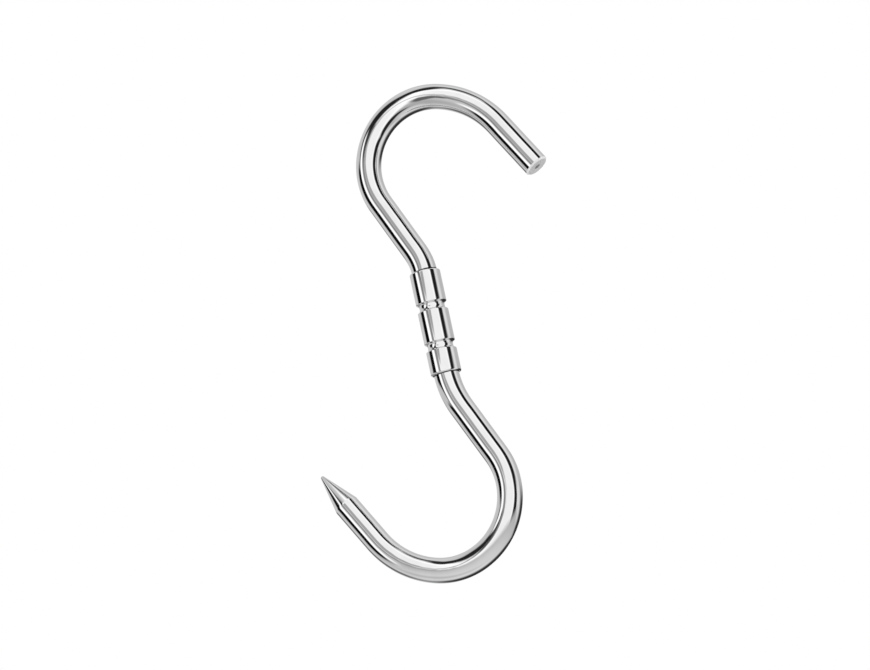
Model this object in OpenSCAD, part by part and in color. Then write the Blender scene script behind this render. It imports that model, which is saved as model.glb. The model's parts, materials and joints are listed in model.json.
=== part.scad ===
// Swivel meat hook: two round bars bent into hooks and held end to end in a rolled sleeve,
// in which each of them turns. +Z is up as the hook hangs, and both hooks lie in the XZ plane.
// The origin is where the rail touches the inside of the upper bend, and the load hangs
// straight below it on the Z axis. All bend radii are at the middle of the bar.

/* [Bar] */
// Diameter of the round bar of both hooks
bar_d = 12; // [11:0.5:12.5]
// Length of straight bar from the middle of the sleeve to the first bend
stem_reach = 24; // [23.5:0.5:30]

/* [Upper hook] */
// Radius of the bend that leads out of the sleeve
upper_lead_r = 29; // [25:1:60]
// Angle of that bend
upper_lead_angle = 23.6; // [15:0.1:30]
// Length of the straight shank
upper_shank = 29.5; // [20:0.5:40]
// Radius of the bend that hangs on the rail
upper_crown_r = 31.5; // [28:0.5:40]
// Radius of the wider bend towards the mouth
upper_mouth_r = 46.5; // [40:0.5:60]
// Angle through which the bar turns from the shank to the blunt end
upper_turn = 173.8; // [160:0.1:180]
// Length of the straight blunt end
upper_end = 29; // [20:0.5:35]
// Chamfer around the blunt end
end_chamfer = 0.75; // [0.3:0.05:1.5]
// Diameter of the centre mark in the blunt end
centre_mark_d = 3; // [1:0.5:4]
// Depth of the centre mark
centre_mark_depth = 0.7; // [0.3:0.1:1.5]

/* [Lower hook] */
// Radius of the bend that leads out of the sleeve
lower_lead_r = 45; // [25:1:60]
// Angle of that bend
lower_lead_angle = 24.2; // [15:0.1:30]
// Length of the straight shank
lower_shank = 28.5; // [20:0.5:40]
// Radius of the bend that carries the load
lower_crown_r = 33.5; // [28:0.5:40]
// Radius of the wider bend towards the mouth
lower_mouth_r = 44; // [40:0.5:60]
// Angle through which the bar turns from the shank to the point
lower_turn = 175; // [160:0.1:180]
// Length of the straight end, with the point
lower_end = 42.5; // [35:0.5:50]
// Length of the ground point
point_length = 19; // [12:0.5:30]
// Radius of the rounded tip
tip_r = 0.9; // [0.4:0.1:1.5]

/* [Swivel sleeve] */
// Length of the sleeve
sleeve_length = 50; // [48:1:60]
// Outer diameter of the sleeve
sleeve_d = 14.6; // [14.5:0.1:16]
// Radial running gap between bar and sleeve
running_gap = 0.08; // [0.02:0.01:0.1]
// Height of the upper rolled groove above the middle of the sleeve
upper_groove_z = 7.6; // [6:0.1:10]
// Depth of the lower rolled groove below the middle of the sleeve
lower_groove_z = 11.6; // [10:0.1:14]
// Depth of a rolled groove
groove_depth = 1.3; // [0.8:0.1:1.5]
// Radius of the floor of a rolled groove
groove_r = 2.1; // [1.5:0.1:2.4]
// Radius of the two shoulders of a rolled groove
shoulder_r = 0.4; // [0.2:0.1:1]
// Radius of the outer edge at each end of the sleeve
rim_r = 0.8; // [0.3:0.1:1]
// Height of the gap between the two bar ends above the sleeve's lower groove
end_gap_above_groove = 9.1; // [8:0.1:10]
// Width of the gap between the two bar ends
end_gap = 1; // [0.5:0.1:2]

/* [Hidden] */
$fn = 96;

bar_r = bar_d / 2;
// Both hooks bend tightly through this angle, past the lowest or highest point, then wider
crown_angle = 130;
// Chamfer on the bar ends inside the sleeve
inner_chamfer = 0.5;

// The sleeve is a tube whose wall keeps its thickness where a groove is rolled in
sleeve_r = sleeve_d / 2;
bore_r = bar_r + running_gap;
wall = sleeve_r - bore_r;
bore_edge = 0.3;
groove_centre_r = sleeve_r - groove_depth + groove_r;
bead_r = groove_r + wall;
shoulder_drop = groove_centre_r - (sleeve_r - shoulder_r);
shoulder_z = sqrt(pow(groove_r + shoulder_r, 2) - pow(shoulder_drop, 2));
// Play between the bead inside a rolled groove and the neck turned in the bar
bead_gap = 0.3;

// Where the two bars end inside the sleeve, from its middle
end_gap_z = end_gap_above_groove - lower_groove_z;
upper_bar_start = end_gap_z + end_gap / 2;
lower_bar_start = end_gap_z - end_gap / 2;

// Straight and bent stretches stop this far short of each other, and a ball that is a hair
// wider than the bar joins them into one solid
seam = 0.05;
seam_ball_r = bar_r + 0.01;

// The tip is a ball that the cone of the point runs just into
cone_angle = atan2(bar_r, point_length - tip_r) - asin(tip_r / norm([bar_r, point_length - tip_r]));
cone_into_tip = 0.97 * tip_r;

// Direction of the bar, and the direction to its right, after it leans by an angle towards +X
function along(lean) = [sin(lean), 0, cos(lean)];
function right_of(lean) = [cos(lean), 0, -sin(lean)];

// Centre of a hook's main bend, for a hook that stands on the middle of the sleeve
function crown_centre(lead_r, lead_angle, shank, crown_r) =
    [-lead_r, 0, stem_reach]
    + (lead_r + crown_r) * right_of(-lead_angle)
    + shank * along(-lead_angle);

upper_centre = crown_centre(upper_lead_r, upper_lead_angle, upper_shank, upper_crown_r);
lower_centre = -crown_centre(lower_lead_r, lower_lead_angle, lower_shank, lower_crown_r);
load_line = upper_centre - lower_centre;
load_lean = atan2(load_line.x, load_line.z);

// Moves a piece from the sleeve's own axis to the way the whole hook hangs
module as_hung() {
    translate([0, 0, bar_r - upper_crown_r])
        rotate([0, -load_lean, 0])
            translate(-upper_centre)
                children();
}

// Straight bar going up, with what follows it on its end
module straight(length) {
    translate([0, 0, seam])
        cylinder(r = bar_r, h = length - 2 * seam);
    translate([0, 0, length]) {
        sphere(r = seam_ball_r);
        children();
    }
}

// Bent bar that leans towards +X for a positive angle, with what follows it on its end
module bend(radius, angle) {
    side = sign(angle);
    seam_angle = seam / radius * 180 / PI;
    translate([side * radius, 0, 0])
        rotate([90, 0, 0])
            rotate_extrude(
                angle = abs(angle) - 2 * seam_angle,
                start = seam_angle + (side > 0 ? 180 - angle : 0)
            )
                translate([radius, 0])
                    circle(r = bar_r);
    translate([side * radius * (1 - cos(angle)), 0, radius * sin(abs(angle))])
        rotate([0, angle, 0]) {
            sphere(r = seam_ball_r);
            children();
        }
}

// End of a bar inside the sleeve: chamfered, with a neck turned round it
module stem(length, neck_height) {
    rotate_extrude()
        difference() {
            square([bar_r, length - seam]);
            translate([groove_centre_r, neck_height])
                circle(r = bead_r + bead_gap);
            translate([bar_r, 0])
                rotate(45)
                    square(inner_chamfer * sqrt(2), center = true);
        }
    translate([0, 0, length]) {
        sphere(r = seam_ball_r);
        children();
    }
}

// Blunt end of the upper hook, with its chamfer and centre mark
module blunt_end(length) {
    rotate_extrude()
        polygon([
            [0, seam],
            [bar_r, seam],
            [bar_r, length - end_chamfer],
            [bar_r - end_chamfer, length],
            [centre_mark_d / 2, length],
            [0, length - centre_mark_depth]
        ]);
}

// Pointed end of the lower hook: the bar ground to a cone with a rounded tip
module pointed_end(length) {
    tip_centre = length - tip_r;
    cone_end = [cone_into_tip * cos(cone_angle), tip_centre + cone_into_tip * sin(cone_angle)];
    rotate_extrude() {
        polygon([
            [0, seam],
            [bar_r, seam],
            [bar_r, length - point_length],
            cone_end,
            [0, cone_end.y]
        ]);
        intersection() {
            translate([0, tip_centre])
                circle(r = tip_r);
            translate([0, tip_centre - tip_r])
                square(2 * tip_r);
        }
    }
}

module upper_hook() {
    color("silver")
        as_hung()
            translate([0, 0, upper_bar_start])
                stem(stem_reach - upper_bar_start, upper_groove_z - upper_bar_start)
                bend(upper_lead_r, -upper_lead_angle)
                straight(upper_shank)
                bend(upper_crown_r, crown_angle)
                bend(upper_mouth_r, upper_turn - crown_angle)
                blunt_end(upper_end);
}

module lower_hook() {
    color("silver")
        as_hung()
            rotate([0, 180, 0])
                translate([0, 0, -lower_bar_start])
                    stem(stem_reach + lower_bar_start, lower_groove_z + lower_bar_start)
                    bend(lower_lead_r, -lower_lead_angle)
                    straight(lower_shank)
                    bend(lower_crown_r, crown_angle)
                    bend(lower_mouth_r, lower_turn - crown_angle)
                    pointed_end(lower_end);
}

// What the roller presses out of the sleeve's wall: a round floor between two round shoulders
module groove_cut() {
    translate([groove_centre_r, 0])
        circle(r = groove_r);
    difference() {
        polygon([
            [groove_centre_r, 0],
            [sleeve_r - shoulder_r, shoulder_z],
            [sleeve_r + shoulder_r, shoulder_z],
            [sleeve_r + shoulder_r, -shoulder_z],
            [sleeve_r - shoulder_r, -shoulder_z]
        ]);
        for (side = [-1, 1])
            translate([sleeve_r - shoulder_r, side * shoulder_z])
                circle(r = shoulder_r);
    }
}

// What is rounded off a corner that points to +X and +Y
module corner_cut(radius) {
    difference() {
        translate([-radius, -radius])
            square(2 * radius);
        translate([-radius, -radius])
            circle(r = radius);
        translate([-2 * radius, -2 * radius])
            square([radius, 4 * radius]);
        translate([-2 * radius, -2 * radius])
            square([4 * radius, radius]);
    }
}

// Half section of the sleeve, from its bore to its outside
module sleeve_section() {
    groove_heights = [upper_groove_z, -lower_groove_z];
    difference() {
        union() {
            translate([bore_r, -sleeve_length / 2])
                square([wall, sleeve_length]);
            for (z = groove_heights)
                intersection() {
                    translate([groove_centre_r, z])
                        circle(r = bead_r);
                    translate([0, z - bead_r])
                        square([sleeve_r, 2 * bead_r]);
                }
        }
        for (z = groove_heights)
            translate([0, z])
                groove_cut();
        for (end = [0, 1])
            mirror([0, end]) {
                translate([sleeve_r, sleeve_length / 2])
                    corner_cut(rim_r);
                translate([bore_r, sleeve_length / 2])
                    mirror([1, 0])
                        corner_cut(bore_edge);
            }
    }
}

module swivel_sleeve() {
    color("gainsboro")
        as_hung()
            rotate_extrude()
                sleeve_section();
}

upper_hook();
swivel_sleeve();
lower_hook();
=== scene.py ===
import json
import math

import bmesh
import bpy
from mathutils import Matrix, Vector


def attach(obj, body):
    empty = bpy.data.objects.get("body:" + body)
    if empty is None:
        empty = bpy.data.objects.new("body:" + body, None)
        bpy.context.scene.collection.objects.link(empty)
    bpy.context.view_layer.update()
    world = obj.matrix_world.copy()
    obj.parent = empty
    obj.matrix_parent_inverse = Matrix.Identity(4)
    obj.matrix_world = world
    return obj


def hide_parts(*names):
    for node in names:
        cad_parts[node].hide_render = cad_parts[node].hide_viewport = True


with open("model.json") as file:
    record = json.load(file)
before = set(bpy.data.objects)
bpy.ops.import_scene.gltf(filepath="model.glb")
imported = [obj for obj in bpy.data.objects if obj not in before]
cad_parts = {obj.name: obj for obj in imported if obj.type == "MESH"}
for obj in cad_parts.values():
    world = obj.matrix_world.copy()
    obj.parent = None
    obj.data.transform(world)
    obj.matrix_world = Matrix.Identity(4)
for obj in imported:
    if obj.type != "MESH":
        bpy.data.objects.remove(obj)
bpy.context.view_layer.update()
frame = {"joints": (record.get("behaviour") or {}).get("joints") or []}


# ---------------------------------------------------------------- upper hook
# A 12 mm round bar of polished stainless steel. Its ends are turned while it is straight: a neck
# for the sleeve at one, a chamfer and a centre mark at the other. Then it is bent cold round
# formers. Its sizes, and those of the other pieces, are in millimetres and degrees.
MM = 0.001
BAR_R = 6.0
STEM_REACH = 24.0      # from the middle of the sleeve to the first bend
CROWN_TURN = 130.0     # both hooks bend tightly this far, then wider
NECK_R = 4.48          # of the bar at the bottom of its neck
NECK_ROUND = 3.62      # radius of the neck's hollow
NECK_REACH = 3.4       # from the middle of the neck to where the bar is plain again
INNER_CHAMFER = 0.5    # of the bar's end inside the sleeve
STEM_END = 16.0        # from the middle of the sleeve to where the rings come close for bending
RING_PITCH = 0.6       # between those rings
SIDES = 96             # of every turned piece
EDGE_DEG = 28          # corners sharper than this stay sharp

upper = dict(lead_r=29.0, lead_turn=23.6, shank=29.5, crown_r=31.5, mouth_r=46.5, turn=173.8,
             end=29.0, start=-2.0, neck=7.6)


def stations(hook):
    """Where each bend starts along the straight bar, and where the bar ends."""
    lead = STEM_REACH
    crown = lead + hook["lead_r"] * math.radians(hook["lead_turn"]) + hook["shank"]
    mouth = crown + hook["crown_r"] * math.radians(CROWN_TURN)
    straight_again = mouth + hook["mouth_r"] * math.radians(hook["turn"] - CROWN_TURN)
    return lead, crown, mouth, straight_again + hook["end"]


def arc(centre_z, centre_r, radius, from_deg, to_deg, steps):
    """Points (z, r) of an arc in the outline of a turned piece; 0 degrees points outwards."""
    out = []
    for i in range(steps + 1):
        a = math.radians(from_deg + (to_deg - from_deg) * i / steps)
        out.append((centre_z + radius * math.sin(a), centre_r + radius * math.cos(a)))
    return out


def run(z0, z1, radius, pitch):
    """Points of a plain stretch of bar between two heights, close enough together to bend."""
    steps = max(1, round((z1 - z0) / pitch))
    return [(z0 + (z1 - z0) * i / steps, radius) for i in range(steps + 1)]


def stem(hook):
    """Outline of the end inside the sleeve: chamfered, with the neck for the sleeve's bead."""
    start, middle = hook["start"], hook["neck"]
    half = math.degrees(math.acos((BAR_R - NECK_R - NECK_ROUND) / NECK_ROUND))
    neck = arc(middle, NECK_R + NECK_ROUND, NECK_ROUND, -half, -360 + half, 24)
    return ([(start, 0), (start, BAR_R - INNER_CHAMFER), (start + INNER_CHAMFER, BAR_R)]
            + run(start + 1, middle - NECK_REACH, BAR_R, 1) + neck
            + run(middle + NECK_REACH, STEM_END, BAR_R, 2))


def turned(name, outline, ring=False):
    """A piece turned round the Z axis from its outline of (z, r) points; a ring's outline
    closes on itself."""
    bm = bmesh.new()
    rows = []
    for z, r in outline:
        if r < 1e-6:
            rows.append([bm.verts.new((0, 0, z * MM))])
            continue
        turn = [2 * math.pi * i / SIDES for i in range(SIDES)]
        rows.append([bm.verts.new((r * MM * math.cos(a), r * MM * math.sin(a), z * MM))
                     for a in turn])
    for low, high in zip(rows, rows[1:] + (rows[:1] if ring else [])):
        for i in range(SIDES):
            j = (i + 1) % SIDES
            if len(low) == 1 and len(high) > 1:
                face = (low[0], high[j], high[i])
            elif len(high) == 1 and len(low) > 1:
                face = (low[i], low[j], high[0])
            else:
                face = (low[i], low[j], high[j], high[i])
            bm.faces.new(face).smooth = True
    bmesh.ops.recalc_face_normals(bm, faces=bm.faces)
    for e in bm.edges:
        if e.is_manifold and e.calc_face_angle() > math.radians(EDGE_DEG):
            e.smooth = False
    mesh = bpy.data.meshes.new(name)
    bm.to_mesh(mesh)
    bm.free()
    obj = bpy.data.objects.new(name, mesh)
    bpy.context.scene.collection.objects.link(obj)
    return obj


def tree(name, kind, inputs, outputs):
    """A node tree with named sockets; returns it with its input and output nodes."""
    t = bpy.data.node_groups.new(name, kind)
    for way, sockets in (("INPUT", inputs), ("OUTPUT", outputs)):
        for label, sort, *start in sockets:
            s = t.interface.new_socket(label, in_out=way, socket_type="NodeSocket" + sort)
            if start:
                s.default_value = start[0]
    return t, t.nodes.new("NodeGroupInput"), t.nodes.new("NodeGroupOutput")


def node(t, kind, *wires, **settings):
    """Adds a node; wires are (input, value or output socket) pairs."""
    n = t.nodes.new(kind)
    for key, value in settings.items():
        setattr(n, key, value)
    for where, what in wires:
        if isinstance(what, bpy.types.NodeSocket):
            t.links.new(what, n.inputs[where])
        else:
            n.inputs[where].default_value = what
    return n


def sum_of(t, how, *values):
    """The output of one Math node."""
    return node(t, "ShaderNodeMath", *enumerate(values), operation=how).outputs[0]


def remembering(t, shape):
    """Keeps each point's place on the straight piece, which bends and finishes go by."""
    here = node(t, "GeometryNodeInputPosition").outputs[0]
    return node(t, "GeometryNodeStoreNamedAttribute", ("Geometry", shape),
                ("Name", "straight_place"), ("Value", here),
                data_type="FLOAT_VECTOR", domain="POINT").outputs[0]


def hung_and_finished(t, shape, given):
    """Leans a shape as the swivel's axis leans, moves it there and gives it its finish."""
    lean = node(t, "ShaderNodeCombineXYZ", ("Y", given["Lean"])).outputs[0]
    shape = node(t, "GeometryNodeTransform", ("Geometry", shape), ("Rotation", lean),
                 ("Translation", given["Swivel centre"])).outputs[0]
    shape = node(t, "GeometryNodeRealizeInstances", ("Geometry", shape)).outputs[0]
    return node(t, "GeometryNodeSetMaterial", ("Geometry", shape),
                ("Material", given["Finish"])).outputs[0]


def pushed_out(t, shape, far):
    """Moves every point of a shape along its own normal."""
    normal = node(t, "GeometryNodeInputNormal").outputs[0]
    offset = node(t, "ShaderNodeVectorMath", (0, normal), ("Scale", far),
                  operation="SCALE").outputs[0]
    return node(t, "GeometryNodeSetPosition", ("Geometry", shape), ("Offset", offset)).outputs[0]


# One bend: beyond its start the bar turns about a former's centre, towards +X for a positive side
bend, b_in, b_out = tree("bend_round_former", "GeometryNodeTree",
                         [("Bar", "Geometry"), ("Start", "Float"), ("Radius", "Float"),
                          ("Turn", "Float"), ("Side", "Float"), ("Ease", "Float")],
                         [("Bar", "Geometry")])
given = b_in.outputs
place = node(bend, "GeometryNodeInputNamedAttribute", ("Name", "straight_place"),
             data_type="FLOAT_VECTOR").outputs["Attribute"]
along = node(bend, "ShaderNodeSeparateXYZ", (0, place)).outputs["Z"]
arc_so_far = sum_of(bend, "SMOOTH_MAX", sum_of(bend, "SUBTRACT", along, given["Start"]), 0.0, given["Ease"])
arc_so_far = sum_of(bend, "SMOOTH_MIN", arc_so_far,
                    sum_of(bend, "MULTIPLY", given["Radius"], given["Turn"]), given["Ease"])
back = node(bend, "ShaderNodeCombineXYZ", ("Z", arc_so_far)).outputs[0]
pulled = node(bend, "ShaderNodeVectorMath", (0, node(bend, "GeometryNodeInputPosition").outputs[0]),
              (1, back), operation="SUBTRACT").outputs[0]
centre = node(bend, "ShaderNodeCombineXYZ", ("X", sum_of(bend, "MULTIPLY", given["Radius"], given["Side"])),
              ("Z", given["Start"])).outputs[0]
swing = sum_of(bend, "MULTIPLY", sum_of(bend, "DIVIDE", arc_so_far, given["Radius"]), given["Side"])
swung = node(bend, "ShaderNodeVectorRotate", ("Vector", pulled), ("Center", centre),
             ("Axis", (0, 1, 0)), ("Angle", swing), rotation_type="AXIS_ANGLE").outputs[0]
moved = node(bend, "GeometryNodeSetPosition", ("Geometry", given["Bar"]), ("Position", swung))
bend.links.new(moved.outputs[0], b_out.inputs["Bar"])

# The whole hook: straight bar, three bends from the free end back to the stem, then hung up
hook_tree, h_in, h_out = tree(
    "bent_hook", "GeometryNodeTree",
    [("Bar", "Geometry"), ("Lead start", "Float"), ("Lead radius", "Float"), ("Lead turn", "Float"),
     ("Crown start", "Float"), ("Crown radius", "Float"), ("Crown turn", "Float"),
     ("Mouth start", "Float"), ("Mouth radius", "Float"), ("Mouth turn", "Float"),
     ("Ease", "Float"), ("Upside down", "Float"), ("Swivel centre", "Vector"), ("Lean", "Float"),
     ("Waviness", "Float"), ("Seed", "Float"), ("Finish", "Material"), ("Worked from", "Float"),
     ("Worked finish", "Material")],
    [("Hook", "Geometry")])
given = h_in.outputs
shape = remembering(hook_tree, given["Bar"])
straight = node(hook_tree, "GeometryNodeInputNamedAttribute", ("Name", "straight_place"),
                data_type="FLOAT_VECTOR").outputs["Attribute"]
swell = node(hook_tree, "ShaderNodeTexNoise", ("Vector", straight), ("W", given["Seed"]),
             ("Scale", 140), ("Detail", 1), noise_dimensions="4D").outputs[0]
swell = sum_of(hook_tree, "MULTIPLY", sum_of(hook_tree, "SUBTRACT", swell, 0.5), given["Waviness"])
shape = pushed_out(hook_tree, shape, swell)
for which, side in (("Mouth", 1), ("Crown", 1), ("Lead", -1)):
    one = node(hook_tree, "GeometryNodeGroup", node_tree=bend)
    for socket, what in (("Bar", shape), ("Start", given[which + " start"]),
                         ("Radius", given[which + " radius"]), ("Turn", given[which + " turn"]),
                         ("Ease", given["Ease"])):
        hook_tree.links.new(what, one.inputs[socket])
    one.inputs["Side"].default_value = side
    shape = one.outputs["Bar"]
flip = node(hook_tree, "ShaderNodeCombineXYZ", ("Y", given["Upside down"])).outputs[0]
shape = node(hook_tree, "GeometryNodeTransform", ("Geometry", shape), ("Rotation", flip)).outputs[0]
shape = hung_and_finished(hook_tree, shape, given)
height = node(hook_tree, "ShaderNodeSeparateXYZ", (0, straight)).outputs["Z"]
worked = node(hook_tree, "FunctionNodeCompare", ("A", height), ("B", given["Worked from"])).outputs[0]
shape = node(hook_tree, "GeometryNodeSetMaterial", ("Geometry", shape), ("Selection", worked),
             ("Material", given["Worked finish"])).outputs[0]
hook_tree.links.new(shape, h_out.inputs["Hook"])

# Where the swivel's middle hangs and how far its axis leans, from the frame's own joint
swivel = next(joint for joint in frame["joints"] if joint["name"] == "lower_hook_swivel")
SWIVEL_CENTRE = Vector(swivel["pos_m"])
SWIVEL_LEAN = math.atan2(swivel["axis"][0], swivel["axis"][2])


def shaped(obj, shaper, values):
    """Runs a geometry tree on a piece with its named inputs and keeps the plain mesh."""
    m = obj.modifiers.new("shape", "NODES")
    m.node_group = shaper
    for item in shaper.interface.items_tree:
        if item.in_out == "INPUT" and item.name in values:
            m[item.identifier] = values[item.name]
    bpy.context.view_layer.update()
    seen = obj.evaluated_get(bpy.context.evaluated_depsgraph_get())
    mesh = bpy.data.meshes.new_from_object(seen)
    obj.modifiers.remove(m)
    blank, obj.data = obj.data, mesh
    bpy.data.meshes.remove(blank)
    mesh.name = obj.name


def bent(obj, hook, upside_down, finish, worked_from, worked_finish):
    """Bends a turned bar to its hook and hangs it where the frame has it."""
    lead, crown, mouth, _ = stations(hook)
    shaped(obj, hook_tree, {
        "Lead start": lead * MM, "Lead radius": hook["lead_r"] * MM,
        "Lead turn": math.radians(hook["lead_turn"]),
        "Crown start": crown * MM, "Crown radius": hook["crown_r"] * MM,
        "Crown turn": math.radians(CROWN_TURN),
        "Mouth start": mouth * MM, "Mouth radius": hook["mouth_r"] * MM,
        "Mouth turn": math.radians(hook["turn"] - CROWN_TURN),
        "Ease": 5 * MM, "Upside down": math.pi if upside_down else 0.0,
        "Swivel centre": SWIVEL_CENTRE, "Lean": SWIVEL_LEAN, "Waviness": 0.06 * MM,
        "Seed": hook["neck"], "Finish": finish, "Worked from": worked_from * MM,
        "Worked finish": worked_finish})


# Marks of the polishing wheel: a fine grain drawn out in one direction of the straight piece
lines, l_in, l_out = tree("polishing_lines", "ShaderNodeTree",
                          [("Place", "Vector"), ("Per metre", "Vector")], [("Lines", "Float")])
given = l_in.outputs
at = node(lines, "ShaderNodeVectorMath", (0, given["Place"]), (1, given["Per metre"]), operation="MULTIPLY")
fine = node(lines, "ShaderNodeTexNoise", ("Vector", at.outputs[0]), ("Scale", 1), ("Detail", 4),
            ("Roughness", 0.65)).outputs[0]
fine = node(lines, "ShaderNodeMapRange", ("Value", fine), ("From Min", 0.3), ("From Max", 0.7))
lines.links.new(fine.outputs[0], l_out.inputs["Lines"])

# Hairline scratches from rails and hooks rubbing: thin short threads that run in one direction
hair, r_in, r_out = tree("hairline_scratches", "ShaderNodeTree",
                         [("Place", "Vector"), ("Turn", "Float"), ("Width", "Float", 0.01)],
                         [("Scratches", "Float")])
given = r_in.outputs
turned_place = node(hair, "ShaderNodeVectorRotate", ("Vector", given["Place"]), ("Axis", (0.6, 0.8, 0)),
                    ("Angle", given["Turn"]), rotation_type="AXIS_ANGLE").outputs[0]
at = node(hair, "ShaderNodeVectorMath", (0, turned_place), (1, (420, 420, 35)),
          operation="MULTIPLY")
thread = node(hair, "ShaderNodeTexNoise", ("Vector", at.outputs[0]), ("Scale", 1),
              ("Detail", 1)).outputs[0]
thread = sum_of(hair, "ABSOLUTE", sum_of(hair, "SUBTRACT", thread, 0.5))
thread = node(hair, "ShaderNodeMapRange", ("Value", thread), ("From Min", given["Width"]),
              ("From Max", 0)).outputs[0]
patch = node(hair, "ShaderNodeTexNoise", ("Vector", turned_place), ("Scale", 210), ("Detail", 2))
patch = node(hair, "ShaderNodeMapRange", ("Value", patch.outputs[0]), ("From Min", 0.54),
             ("From Max", 0.62)).outputs[0]
hair.links.new(sum_of(hair, "MULTIPLY", thread, patch), r_out.inputs["Scratches"])

# Haze that wiping and handling leave: broad soft clouds
haze, z_in, z_out = tree("handling_haze", "ShaderNodeTree",
                         [("Place", "Vector"), ("Clouds per metre", "Float", 90)],
                         [("Haze", "Float")])
given = z_in.outputs
cloud = node(haze, "ShaderNodeTexNoise", ("Vector", given["Place"]), ("Scale", given["Clouds per metre"]),
             ("Detail", 3), ("Distortion", 0.4)).outputs[0]
cloud = node(haze, "ShaderNodeMapRange", ("Value", cloud), ("From Min", 0.4), ("From Max", 0.7),
             interpolation_type="SMOOTHSTEP")
haze.links.new(cloud.outputs[0], z_out.inputs["Haze"])

# Painted shade: a ragged near-black band on the bar just outside each end of the sleeve, wider here and
# narrower there, for the shadow in the gap where the bar goes into the sleeve
SHADE_BAND_HEIGHT = 25.2    # from the middle of the sleeve, just outside its end
SHADE_BAND_WIDTH = 0.5
joint_shade, d_in, d_out = tree("painted_shade_in_joint", "ShaderNodeTree",
                          [("Place", "Vector"), ("Height", "Float", SHADE_BAND_HEIGHT * MM),
                           ("Width", "Float", SHADE_BAND_WIDTH * MM)],
                          [("Paste", "Float")])
given = d_in.outputs
height = node(joint_shade, "ShaderNodeSeparateXYZ", (0, given["Place"])).outputs["Z"]
ragged = node(joint_shade, "ShaderNodeTexNoise", ("Vector", given["Place"]), ("Scale", 330),
              ("Detail", 1)).outputs[0]
reach = sum_of(joint_shade, "MULTIPLY", given["Width"], ragged)
off = sum_of(joint_shade, "ABSOLUTE", sum_of(joint_shade, "SUBTRACT", height, given["Height"]))
off = sum_of(joint_shade, "DIVIDE", off, reach)
# Painted shade, full in the band's middle and fading out towards its ragged edges
shade_band = node(joint_shade, "ShaderNodeMapRange", ("Value", off), ("From Min", 1.25), ("From Max", 0.85))
joint_shade.links.new(shade_band.outputs[0], d_out.inputs["Paste"])


GRAIN_DEPTH = 0.0000016       # metres, of the marks on a polished bar


def steel(name, grain, polish, shift, relief=1.0, joint=False):
    """Stainless steel. Grain is the pattern's count per metre along X, Y and Z of the straight
    piece, polish the roughness of its brightest part, shift where its marks start, relief how
    deep they are, and joint says whether a painted shade darkens it just outside the sleeve."""
    m = bpy.data.materials.new(name)
    m.use_nodes = True
    t = m.node_tree
    steel_shader = t.nodes["Principled BSDF"]
    place = node(t, "ShaderNodeAttribute", attribute_name="straight_place").outputs["Vector"]
    place = node(t, "ShaderNodeVectorMath", (0, place), (1, (shift, shift, 0)), operation="ADD")
    place = place.outputs[0]
    wheel = node(t, "ShaderNodeGroup", ("Place", place), ("Per metre", grain),
                 node_tree=lines).outputs[0]
    rubbed = [node(t, "ShaderNodeGroup", ("Place", place), ("Turn", a), ("Width", w),
                   node_tree=hair).outputs[0] for a, w in ((0.5, 0.008), (1.9, 0.006))]
    rubbed = sum_of(t, "MAXIMUM", *rubbed)
    cloud = node(t, "ShaderNodeGroup", ("Place", place), node_tree=haze).outputs[0]
    dull = sum_of(t, "ADD", sum_of(t, "MULTIPLY", cloud, 0.35), sum_of(t, "MULTIPLY", rubbed, 0.5))
    colour = node(t, "ShaderNodeMix", ("Factor", dull), (6, (0.80, 0.80, 0.805, 1)),
                  (7, (0.72, 0.715, 0.715, 1)), data_type="RGBA").outputs[2]
    # Painted shade: where joint is set, the colour turns near-black in a band just outside the sleeve's end
    if joint:
        dark = node(t, "ShaderNodeGroup", ("Place", place), node_tree=joint_shade).outputs[0]
        colour = node(t, "ShaderNodeMix", ("Factor", dark), (6, colour),
                      (7, (0.012, 0.011, 0.01, 1)), data_type="RGBA").outputs[2]
    t.links.new(colour, steel_shader.inputs["Base Color"])
    rough = sum_of(t, "MULTIPLY_ADD", wheel, polish * 0.8, polish)
    rough = sum_of(t, "MULTIPLY_ADD", cloud, 0.02, rough)
    rough = sum_of(t, "MULTIPLY_ADD", rubbed, 0.12, rough)
    t.links.new(rough, steel_shader.inputs["Roughness"])
    relief_height = sum_of(t, "SUBTRACT", sum_of(t, "MULTIPLY", wheel, 0.4), rubbed)
    bump = node(t, "ShaderNodeBump", ("Height", relief_height), ("Strength", 1.0),
                ("Distance", GRAIN_DEPTH * relief)).outputs[0]
    t.links.new(bump, steel_shader.inputs["Normal"])
    steel_shader.inputs["Metallic"].default_value = 1
    return m


ALONG = (2300, 2300, 60)      # grain drawn out along the bar
ROUND = (60, 60, 2600)        # grain drawn out round a turned piece
EVEN = (1500, 1500, 1500)     # grain of a sawn and faced end
END_CHAMFER = 0.75
MARK_R = 1.5                  # of the centre mark
MARK_DEPTH = 0.7
MARK_SOFT = 0.1               # of the mark's edge
# Radii over which the end's colour turns from the face's tone to the chamfer's lighter painted highlight
CHAMFER_HIGHLIGHT_FROM, CHAMFER_HIGHLIGHT_TO = 5.1, 5.4


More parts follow.
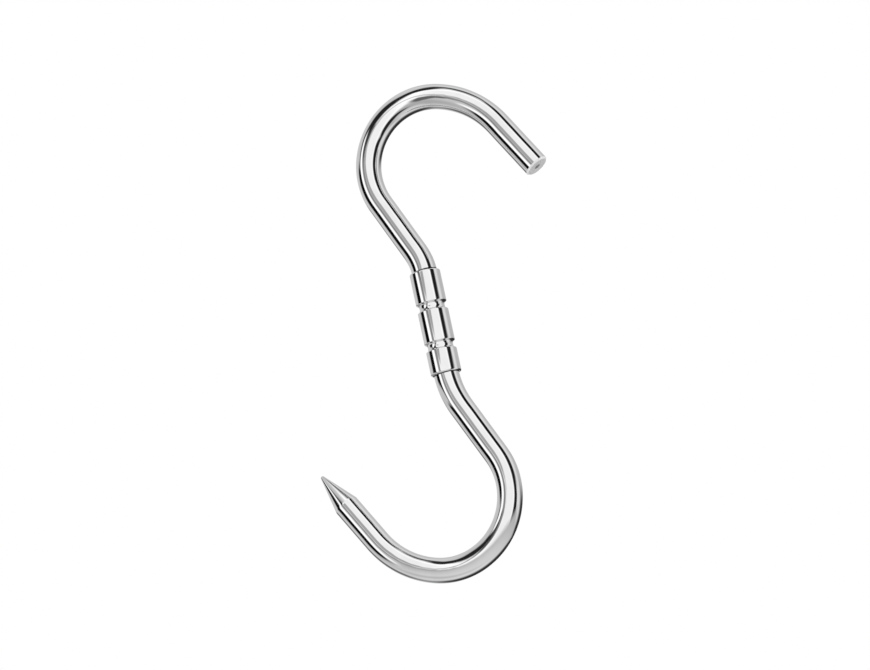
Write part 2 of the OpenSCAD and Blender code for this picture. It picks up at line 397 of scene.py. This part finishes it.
def cut_end_steel():
    """The faced-off end scatters light, and its chamfer ring carries a painted highlight, a lighter
    base colour than the face; only its centre mark, drilled clean, mirrors."""
    m = steel("cut_end_steel", EVEN, 0.42, 0.0, 5.0)
    t = m.node_tree
    place = node(t, "ShaderNodeAttribute", attribute_name="straight_place").outputs["Vector"]
    across = node(t, "ShaderNodeVectorMath", (0, place), (1, (1, 1, 0)),
                  operation="MULTIPLY").outputs[0]
    from_axis = node(t, "ShaderNodeVectorMath", (0, across), operation="LENGTH").outputs["Value"]
    mark = node(t, "ShaderNodeMapRange", ("Value", from_axis), ("From Min", MARK_R * MM),
                ("From Max", (MARK_R - MARK_SOFT) * MM), ("To Min", 0.25), ("To Max", 1.0))
    t.links.new(mark.outputs[0], t.nodes["Principled BSDF"].inputs["Metallic"])
    # Painted highlight: the chamfer ring is coloured lighter than the face, for the light it catches
    chamfer_highlight = node(t, "ShaderNodeMapRange", ("Value", from_axis), ("From Min", CHAMFER_HIGHLIGHT_FROM * MM),
                 ("From Max", CHAMFER_HIGHLIGHT_TO * MM)).outputs[0]
    chamfer_highlight = node(t, "ShaderNodeMix", ("Factor", chamfer_highlight), (6, (0.66, 0.66, 0.665, 1)),
                 (7, (0.86, 0.86, 0.86, 1)), data_type="RGBA").outputs[2]
    t.links.new(chamfer_highlight, t.nodes["Principled BSDF"].inputs["Base Color"])
    return m


upper_end = stations(upper)[-1]
blunt = [(upper_end - END_CHAMFER, BAR_R), (upper_end, BAR_R - END_CHAMFER), (upper_end, MARK_R),
         (upper_end - MARK_DEPTH, 0)]
upper_hook = turned("upper_hook_bar", stem(upper)
                    + run(STEM_END + RING_PITCH, upper_end - 2 * RING_PITCH, BAR_R, RING_PITCH)
                    + blunt)
# The cut finish takes in the chamfer's facets, whose middles are half a chamfer from the end
bent(upper_hook, upper, False, steel("upper_bar_steel", ALONG, 0.022, 0.0, joint=True),
     upper_end - 0.5, cut_end_steel())
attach(upper_hook, "upper_hook")
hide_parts("upper_hook")


# ---------------------------------------------------------------- lower hook
# The same bar bent to the same pattern the other way up. Its free end is ground to a cone
# with a slightly blunt tip, and its stem turns in the sleeve as the upper one does.
lower = dict(lead_r=45.0, lead_turn=24.2, shank=28.5, crown_r=33.5, mouth_r=44.0, turn=175.0,
             end=42.5, start=3.0, neck=11.6)
POINT = 19.0
TIP_R = 0.9
CONE_RINGS = 24
lower_end = stations(lower)[-1]
cone_start = lower_end - POINT
cone = math.atan2(BAR_R, POINT - TIP_R) - math.asin(TIP_R / math.hypot(BAR_R, POINT - TIP_R))
tip = arc(lower_end - TIP_R, 0, TIP_R, math.degrees(cone), 90, 8)[:-1]
side = [(cone_start + (tip[0][0] - cone_start) * i / CONE_RINGS,
         BAR_R + (tip[0][1] - BAR_R) * i / CONE_RINGS) for i in range(CONE_RINGS)]
lower_hook = turned("lower_hook_bar", stem(lower)
                    + run(STEM_END + RING_PITCH, cone_start - RING_PITCH, BAR_R, RING_PITCH)
                    + side + tip + [(lower_end, 0)])
# The ground finish starts with the first facets of the cone
bent(lower_hook, lower, True, steel("lower_bar_steel", ALONG, 0.022, 0.3, joint=True),
     cone_start + 0.01, steel("ground_point_steel", ROUND, 0.03, 0.3, 0.7))
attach(lower_hook, "lower_hook")
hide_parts("lower_hook")


# ------------------------------------------------------------- swivel sleeve
# A thin tube of the same steel, slipped over both stems. Two grooves are rolled into it, and
# their beads stand in the necks of the bars, so that both bars turn and neither pulls out.
SLEEVE_R = 7.3
BORE_R = 6.08
SLEEVE_HALF = 25.0
BEAD_AXIS_R = 8.1      # middle of the bead's round back, from the sleeve's axis
BEAD_R = 3.32
GROOVES = (-11.6, 7.6)
GROOVE_DEPTH = 1.3
FLOOR_R = 3.4          # of the groove's wide floor
CORNER_R = 0.8         # of the hollow corner beside it
SHOULDER_R = 0.4
FLOOR_DEG = 20         # how far the floor has turned up at the corner
FLANK_DEG = 60         # how steep the flank is
RIM_R = 0.8            # of the outer edge at each end
BORE_EDGE_R = 0.3

# Half of a groove: floor, hollow corner, short steep flank and rounded shoulder
floor_turn = math.radians(FLOOR_DEG)
flank_turn = math.radians(FLANK_DEG)
half = arc(0, SLEEVE_R - GROOVE_DEPTH + FLOOR_R, FLOOR_R, 180, 180 - FLOOR_DEG, 6)
z, r = half[-1]
half += arc(z - CORNER_R * math.sin(floor_turn), r + CORNER_R * math.cos(floor_turn), CORNER_R,
            180 - FLOOR_DEG, 180 - FLANK_DEG, 6)[1:]
z, r = half[-1]
flank_top = SLEEVE_R - SHOULDER_R * (1 - math.cos(flank_turn))
z += (flank_top - r) / math.tan(flank_turn)
half += arc(z + SHOULDER_R * math.sin(flank_turn), SLEEVE_R - SHOULDER_R, SHOULDER_R,
            -FLANK_DEG, 0, 8)
groove = [(-z, r) for z, r in reversed(half[1:])] + half

outside, inside = [], []
swell = math.degrees(math.asin((BEAD_AXIS_R - BORE_R) / BEAD_R))
for middle in GROOVES:
    outside += [(middle + z, r) for z, r in groove]
    inside += arc(middle, BEAD_AXIS_R, BEAD_R, -90 - swell, -270 + swell, 16)
rim = arc(SLEEVE_HALF - RIM_R, SLEEVE_R - RIM_R, RIM_R, 0, 90, 8)
lip = arc(SLEEVE_HALF - BORE_EDGE_R, BORE_R + BORE_EDGE_R, BORE_EDGE_R, 90, 180, 4)
section = (list(reversed([(-z, r) for z, r in rim])) + outside + rim + lip
           + list(reversed(inside)) + list(reversed([(-z, r) for z, r in lip])))
sleeve = turned("swivel_sleeve_tube", section, ring=True)
sleeve_tree, s_in, s_out = tree(
    "hung_sleeve", "GeometryNodeTree",
    [("Tube", "Geometry"), ("Swivel centre", "Vector"), ("Lean", "Float"),
     ("Lower groove", "Float"), ("Upper groove", "Float"), ("Groove reach", "Float"),
     ("Rolled unevenness", "Float"), ("Seed", "Float"), ("Finish", "Material")],
    [("Sleeve", "Geometry")])
given = s_in.outputs
shape = remembering(sleeve_tree, given["Tube"])
# The roller leaves the grooves a little uneven
straight = node(sleeve_tree, "GeometryNodeInputPosition").outputs[0]
height = node(sleeve_tree, "ShaderNodeSeparateXYZ", (0, straight)).outputs["Z"]
nearest = sum_of(sleeve_tree, "MINIMUM", *(
    sum_of(sleeve_tree, "ABSOLUTE", sum_of(sleeve_tree, "SUBTRACT", height, given[which]))
    for which in ("Lower groove", "Upper groove")))
rolled = node(sleeve_tree, "ShaderNodeMapRange", ("Value", nearest),
              ("From Min", given["Groove reach"]), ("From Max", 0.0),
              interpolation_type="SMOOTHSTEP").outputs[0]
uneven = node(sleeve_tree, "ShaderNodeTexNoise", ("Vector", straight), ("W", given["Seed"]),
              ("Scale", 480), ("Detail", 2), noise_dimensions="4D").outputs[0]
uneven = sum_of(sleeve_tree, "MULTIPLY", sum_of(sleeve_tree, "SUBTRACT", uneven, 0.5), rolled)
uneven = sum_of(sleeve_tree, "MULTIPLY", uneven, given["Rolled unevenness"])
shape = hung_and_finished(sleeve_tree, pushed_out(sleeve_tree, shape, uneven), given)
sleeve_tree.links.new(shape, s_out.inputs["Sleeve"])
shaped(sleeve, sleeve_tree, {"Swivel centre": SWIVEL_CENTRE, "Lean": SWIVEL_LEAN,
                             "Lower groove": GROOVES[0] * MM, "Upper groove": GROOVES[1] * MM,
                             "Groove reach": 2.4 * MM, "Rolled unevenness": 0.12 * MM, "Seed": 3.0,
                             "Finish": steel("sleeve_steel", ROUND, 0.022, 0.6)})
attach(sleeve, "swivel_sleeve")
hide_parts("swivel_sleeve")


# -------------------------------------------------------------------- camera
# A long lens, lower than the load, that looks slightly up at the hook from its right.
AZIMUTH = math.radians(19.5)
ELEVATION = math.radians(-8.4)
ROLL = math.radians(-1.89)
LENS_AWAY = 2.5
LOOK_AT = Vector((-0.004, 0, -0.108))
FIELD_WIDTH = 0.4092                  # that the lens takes in at LOOK_AT
ASIDE, ABOVE = 0.002866, 0.00036      # of the lens from the line through LOOK_AT
to_lens = Vector((math.sin(AZIMUTH) * math.cos(ELEVATION),
                  -math.cos(AZIMUTH) * math.cos(ELEVATION), math.sin(ELEVATION)))
level = Vector((math.cos(AZIMUTH), math.sin(AZIMUTH), 0))
upright = to_lens.cross(level)
right = level * math.cos(ROLL) + upright * math.sin(ROLL)
top = upright * math.cos(ROLL) - level * math.sin(ROLL)
camera = bpy.data.objects.new("camera", bpy.data.cameras.new("camera"))
bpy.context.scene.collection.objects.link(camera)
camera.data.lens = camera.data.sensor_width * LENS_AWAY / FIELD_WIDTH
camera.data.clip_end = 50
turn = Matrix((right, top, to_lens)).transposed().to_4x4()
lens = LOOK_AT + to_lens * LENS_AWAY + right * ASIDE + top * ABOVE
camera.matrix_world = Matrix.Translation(lens) @ turn
bpy.context.scene.camera = camera


# -------------------------------------------------------------------- studio
# A white tent in front of the hook with dark gaps round it, in a grey room: this is what the
# steel mirrors. A tone is the light that comes from a place, where 1 is the brightness of paper.
scene = bpy.context.scene
scene.view_settings.view_transform = "Standard"
ROOM_TONE = 0.64
# Places are in degrees from the lens, to the right and upwards: centre, half width and height,
# the turn of the long side, how soft the edge is, and the tone. Each covers those before it.
STUDIO = (
    ("dark end of the room", 60, -56, 112, 92, 45, 0.22, 0.035),
    ("right end of the room", 128, 62, 30, 52, 0, 0.45, 0.58),
    ("near walls", -17, 9, 121, 116, 0, 0.13, 0.90),
    ("near walls, left", -55, 12, 92, 105, 0, 0.40, 0.68),
    ("near walls, low", -10, -50, 60, 24, 0, 0.50, 0.50),
    ("dark corner, bottom left", -92, -98, 62, 17, -28, 0.50, 0.15),
    ("gap, left", -70, 40, 24, 31, -18, 0.28, 0.02),
    ("gap, top", -6, 96, 30, 9, 3, 0.35, 0.09),
    ("gap, top right", 41, 61, 42, 15, -53, 0.28, 0.006),
    ("gap, right", 46, 14, 18, 46, 5, 0.20, 0.015),
    ("gap, bottom", 23, -38, 34, 13, 20, 0.28, 0.02),
    ("gap, bottom left", -85, -14, 21, 32, 30, 0.22, 0.003),
    ("tent rim", -4, 25, 41, 53, 14, 0.14, 1.40),
    ("tent rim, top left", -14, 44, 32, 35, -47, 0.14, 1.40),
    ("tent", -4, 24, 35, 47, 14, 0.20, 1.09),
    ("tent, top left", -13, 42, 26, 29, -47, 0.20, 1.09),
    ("gap, top left", -49, 66, 38, 11, 50, 0.28, 0.02),
    ("tent, left side", -67, 4, 10, 32, 20, 0.22, 1.30),
    ("fold beside the lens", -30, 23, 12, 7, 40, 0.30, 0.45),
    ("fold below it", -36, -13, 20, 6, -68, 0.35, 0.15),
    ("gap beside the lens", -53, 20, 13, 5, -22, 0.35, 0.06),
    ("lens opening", -48, 11, 7, 9, 60, 0.30, 0.30),
)
spot, p_in, p_out = tree("studio_patch", "ShaderNodeTree",
                         [("Place", "Vector"), ("Centre", "Vector"), ("Half size", "Vector"),
                          ("Turn", "Vector"), ("Soft edge", "Float"), ("Tone", "Float"),
                          ("Behind", "Float")], [("Tone", "Float")])
given = p_in.outputs
at = node(spot, "ShaderNodeMapping", (0, given["Place"]), ("Location", given["Centre"]),
          ("Rotation", given["Turn"]), ("Scale", given["Half size"]), vector_type="TEXTURE").outputs[0]
off = node(spot, "ShaderNodeVectorMath", (0, at), operation="LENGTH").outputs["Value"]
inside_patch = node(spot, "ShaderNodeMapRange", ("Value", off),
                    ("From Min", sum_of(spot, "ADD", given["Soft edge"], 1.0)),
                    ("From Max", sum_of(spot, "SUBTRACT", 1.0, given["Soft edge"])),
                    interpolation_type="SMOOTHSTEP").outputs[0]
tone = node(spot, "ShaderNodeMix", ("Factor", inside_patch), (2, given["Behind"]), (3, given["Tone"]),
            data_type="FLOAT").outputs[0]
spot.links.new(tone, p_out.inputs["Tone"])

world = bpy.data.worlds.new("studio")
scene.world = world
world.use_nodes = True
w = world.node_tree
w.nodes.clear()
facing = node(w, "ShaderNodeMapping", (0, node(w, "ShaderNodeTexCoord").outputs["Generated"]),
              ("Rotation", Matrix((right, top, to_lens)).to_euler()),
              vector_type="POINT").outputs[0]
parts = node(w, "ShaderNodeSeparateXYZ", (0, facing)).outputs
away = sum_of(w, "MULTIPLY", sum_of(w, "ARCCOSINE", parts["Z"]), 180 / math.pi)
flat = node(w, "ShaderNodeCombineXYZ", ("X", parts["X"]), ("Y", parts["Y"])).outputs[0]
flat = node(w, "ShaderNodeVectorMath", (0, flat), operation="NORMALIZE").outputs[0]
flat = node(w, "ShaderNodeVectorMath", (0, flat), ("Scale", away), operation="SCALE").outputs[0]
tone = ROOM_TONE
for _, x, y, wide, high, turn_deg, edge, bright in STUDIO:
    tone = node(w, "ShaderNodeGroup", ("Place", flat), ("Centre", (x, y, 0)),
                ("Half size", (wide, high, 1)), ("Turn", (0, 0, math.radians(turn_deg))),
                ("Soft edge", edge), ("Tone", bright), ("Behind", tone),
                node_tree=spot).outputs["Tone"]
room = node(w, "ShaderNodeBackground", ("Color", tone))
paper = node(w, "ShaderNodeBackground", ("Color", (1, 1, 1, 1)))
mirrored = node(w, "ShaderNodeLightPath").outputs["Is Glossy Ray"]
both = node(w, "ShaderNodeMixShader", (0, mirrored), (1, paper.outputs[0]), (2, room.outputs[0]))
node(w, "ShaderNodeOutputWorld", (0, both.outputs[0]))

# Two curved grey boards hang close to the lower hook, one in front of it and one beside it. Only
# the steel sees them. Each is a patch of a ball: its middle and radius, its left, bottom, right and
# top edges in degrees from the lens as above, and its tone.
BOARDS = (("front_board", LOOK_AT, 0.187, -45, -78, 68, -30, 0.56),
          ("side_board", Vector((0.004, 0, -0.216)), 0.10, -112, 44, -60, 108, 0.66))
BOARD_SOFT = 10      # degrees over which an edge fades
BOARD_STEPS = 36
BOARD_LIGHTER = 1.45                          # times its tone, at its bottom
LIGHTER_FROM, LIGHTER_TO = -0.235, -0.29      # heights between which it turns lighter
for label, ball_centre, ball_r, x0, y0, x1, y1, bright in BOARDS:
    bm = bmesh.new()
    thin = bm.verts.layers.float.new("thin")
    rows = []
    for i in range(BOARD_STEPS + 1):
        rows.append([])
        for k in range(BOARD_STEPS + 1):
            x, y = x0 + (x1 - x0) * k / BOARD_STEPS, y0 + (y1 - y0) * i / BOARD_STEPS
            sideways = (right * x + top * y) / math.hypot(x, y)
            far = math.radians(math.hypot(x, y))
            towards = to_lens * math.cos(far) + sideways * math.sin(far)
            vert = bm.verts.new(ball_centre + towards * ball_r)
            vert[thin] = 1 - min(1, min(x - x0, x1 - x, y - y0, y1 - y) / BOARD_SOFT)
            rows[-1].append(vert)
    for low, high in zip(rows, rows[1:]):
        for k in range(BOARD_STEPS):
            bm.faces.new((low[k], low[k + 1], high[k + 1], high[k]))
    board_mesh = bpy.data.meshes.new(label)
    bm.to_mesh(board_mesh)
    bm.free()
    board = bpy.data.objects.new(label, board_mesh)
    scene.collection.objects.link(board)
    board_paint = bpy.data.materials.new(label + "_paint")
    board_paint.use_nodes = True
    t = board_paint.node_tree
    t.nodes.clear()
    drop = node(t, "ShaderNodeSeparateXYZ",
                (0, node(t, "ShaderNodeTexCoord").outputs["Object"])).outputs["Z"]
    fade = node(t, "ShaderNodeMapRange", ("Value", drop), ("From Min", LIGHTER_FROM),
                ("From Max", LIGHTER_TO), ("To Min", bright),
                ("To Max", bright * BOARD_LIGHTER)).outputs[0]
    glow = node(t, "ShaderNodeEmission", ("Color", fade)).outputs[0]
    thinness = node(t, "ShaderNodeAttribute", attribute_name="thin").outputs["Fac"]
    clear = node(t, "ShaderNodeBsdfTransparent").outputs[0]
    soft = node(t, "ShaderNodeMixShader", (0, thinness), (1, glow), (2, clear)).outputs[0]
    node(t, "ShaderNodeOutputMaterial", (0, soft))
    board_paint.cycles.emission_sampling = "NONE"
    board_mesh.materials.append(board_paint)
    for ray in ("camera", "diffuse", "shadow", "transmission", "volume_scatter"):
        setattr(board, "visible_" + ray, False)

# A plain pale floor well below the hook, which hangs over it
FLOOR_Z = -0.75
FLOOR_HALF = 12
corners = [(x * FLOOR_HALF, y * FLOOR_HALF, FLOOR_Z)
           for x, y in ((-1, -1), (1, -1), (1, 1), (-1, 1))]
floor_mesh = bpy.data.meshes.new("floor")
floor_mesh.from_pydata(corners, [], [(0, 1, 2, 3)])
floor = bpy.data.objects.new("floor", floor_mesh)
scene.collection.objects.link(floor)
floor.visible_glossy = False
floor_paint = bpy.data.materials.new("floor_paint")
floor_paint.use_nodes = True
t = floor_paint.node_tree
matt = t.nodes["Principled BSDF"]
matt.inputs["Base Color"].default_value = (0.86, 0.86, 0.855, 1)
matt.inputs["Roughness"].default_value = 0.9
# From below it isn't there, and far off it turns into the white of the background
under = node(t, "ShaderNodeNewGeometry").outputs["Backfacing"]
nothing = node(t, "ShaderNodeBsdfTransparent").outputs[0]
spread = node(t, "ShaderNodeVectorMath", (0, node(t, "ShaderNodeTexCoord").outputs["Object"]),
              operation="LENGTH").outputs["Value"]
spread = node(t, "ShaderNodeMapRange", ("Value", spread), ("From Min", 1.2), ("From Max", 6),
              interpolation_type="SMOOTHSTEP").outputs[0]
gone = sum_of(t, "MAXIMUM", spread, under)
faded = node(t, "ShaderNodeMixShader", (0, gone), (1, matt.outputs[0]), (2, nothing)).outputs[0]
t.links.new(faded, t.nodes["Material Output"].inputs["Surface"])
floor_mesh.materials.append(floor_paint)

# One large soft lamp overhead for the floor's shadow
lamp = bpy.data.objects.new("soft_lamp", bpy.data.lights.new("soft_lamp", "AREA"))
scene.collection.objects.link(lamp)
lamp.data.shape = "DISK"
lamp.data.size = 0.5
lamp.data.energy = 6
lamp.location = (0.3, -0.5, 1.4)
lamp.rotation_euler = (LOOK_AT - lamp.location).to_track_quat("-Z", "Y").to_euler()
lamp.visible_glossy = False
